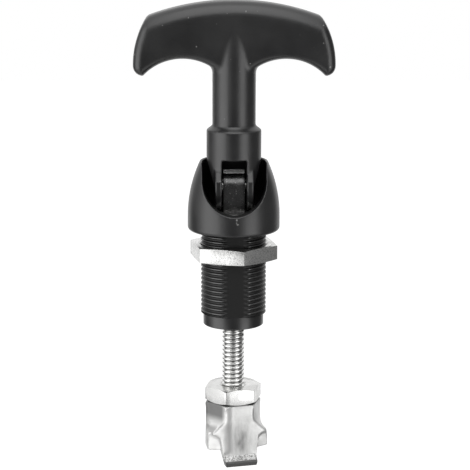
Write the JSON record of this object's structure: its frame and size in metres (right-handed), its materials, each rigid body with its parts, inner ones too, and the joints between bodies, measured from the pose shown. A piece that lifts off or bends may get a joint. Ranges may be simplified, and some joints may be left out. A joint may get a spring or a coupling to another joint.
{
  "type": "t-handle compression latch",
  "caption": "Panel-mounted compression latch with a folding T-handle in a swivelling hood, a threaded barrel with a hexagon nut, and a cast pawl on a threaded rod.",
  "frame": {"origin": "on the barrel's axis, at the panel's outer face, where the flange seats", "axes": "+Z along the axis out of the panel towards the handle, +X along the grip bar, -Y the side the handle folds to"},
  "size_m": [0.0554, 0.0256, 0.1304],
  "materials": {
    "black_plastic": "satin",
    "black_coat": "satin",
    "zinc_plate": "satin",
    "cast_zinc": "cast",
    "spring_wire": "drawn",
    "seal_rubber": "matte",
    "bush_plastic": "matte"
  },
  "bodies": {
    "barrel_body": {"barrel": "black_coat", "panel_nut": "zinc_plate", "shaft_seal": "seal_rubber", "guide_bush": "bush_plastic", "return_spring": "spring_wire"},
    "hood_body": {"hood": "black_plastic", "thrust_washer": "bush_plastic"},
    "shaft_body": {"shaft": "zinc_plate", "spring_seat": "zinc_plate", "retaining_ring": "spring_wire", "jam_nut": "zinc_plate", "pawl": "cast_zinc"},
    "handle_body": {"t_handle": "black_plastic", "pivot_pin": "zinc_plate"}
  },
  "joints": [
    {"name": "turn", "type": "hinge", "parent": "barrel_body", "child": "hood_body", "pos_m": [0, 0, 0], "axis": [0, 0, 1], "range_deg": [0, 90]},
    {"name": "draw", "type": "slide", "parent": "hood_body", "child": "shaft_body", "axis": [0, 0, 1], "range_m": [0, 0.002], "deforming": ["return_spring"]},
    {"name": "fold", "type": "hinge", "parent": "shaft_body", "child": "handle_body", "pos_m": [0, 0, 0.0125], "axis": [1, 0, 0], "range_deg": [0, 90]}
  ],
  "couplings": [
    {"joint": "draw", "follows": "fold", "m_per_rad": 0.0012732}
  ]
}
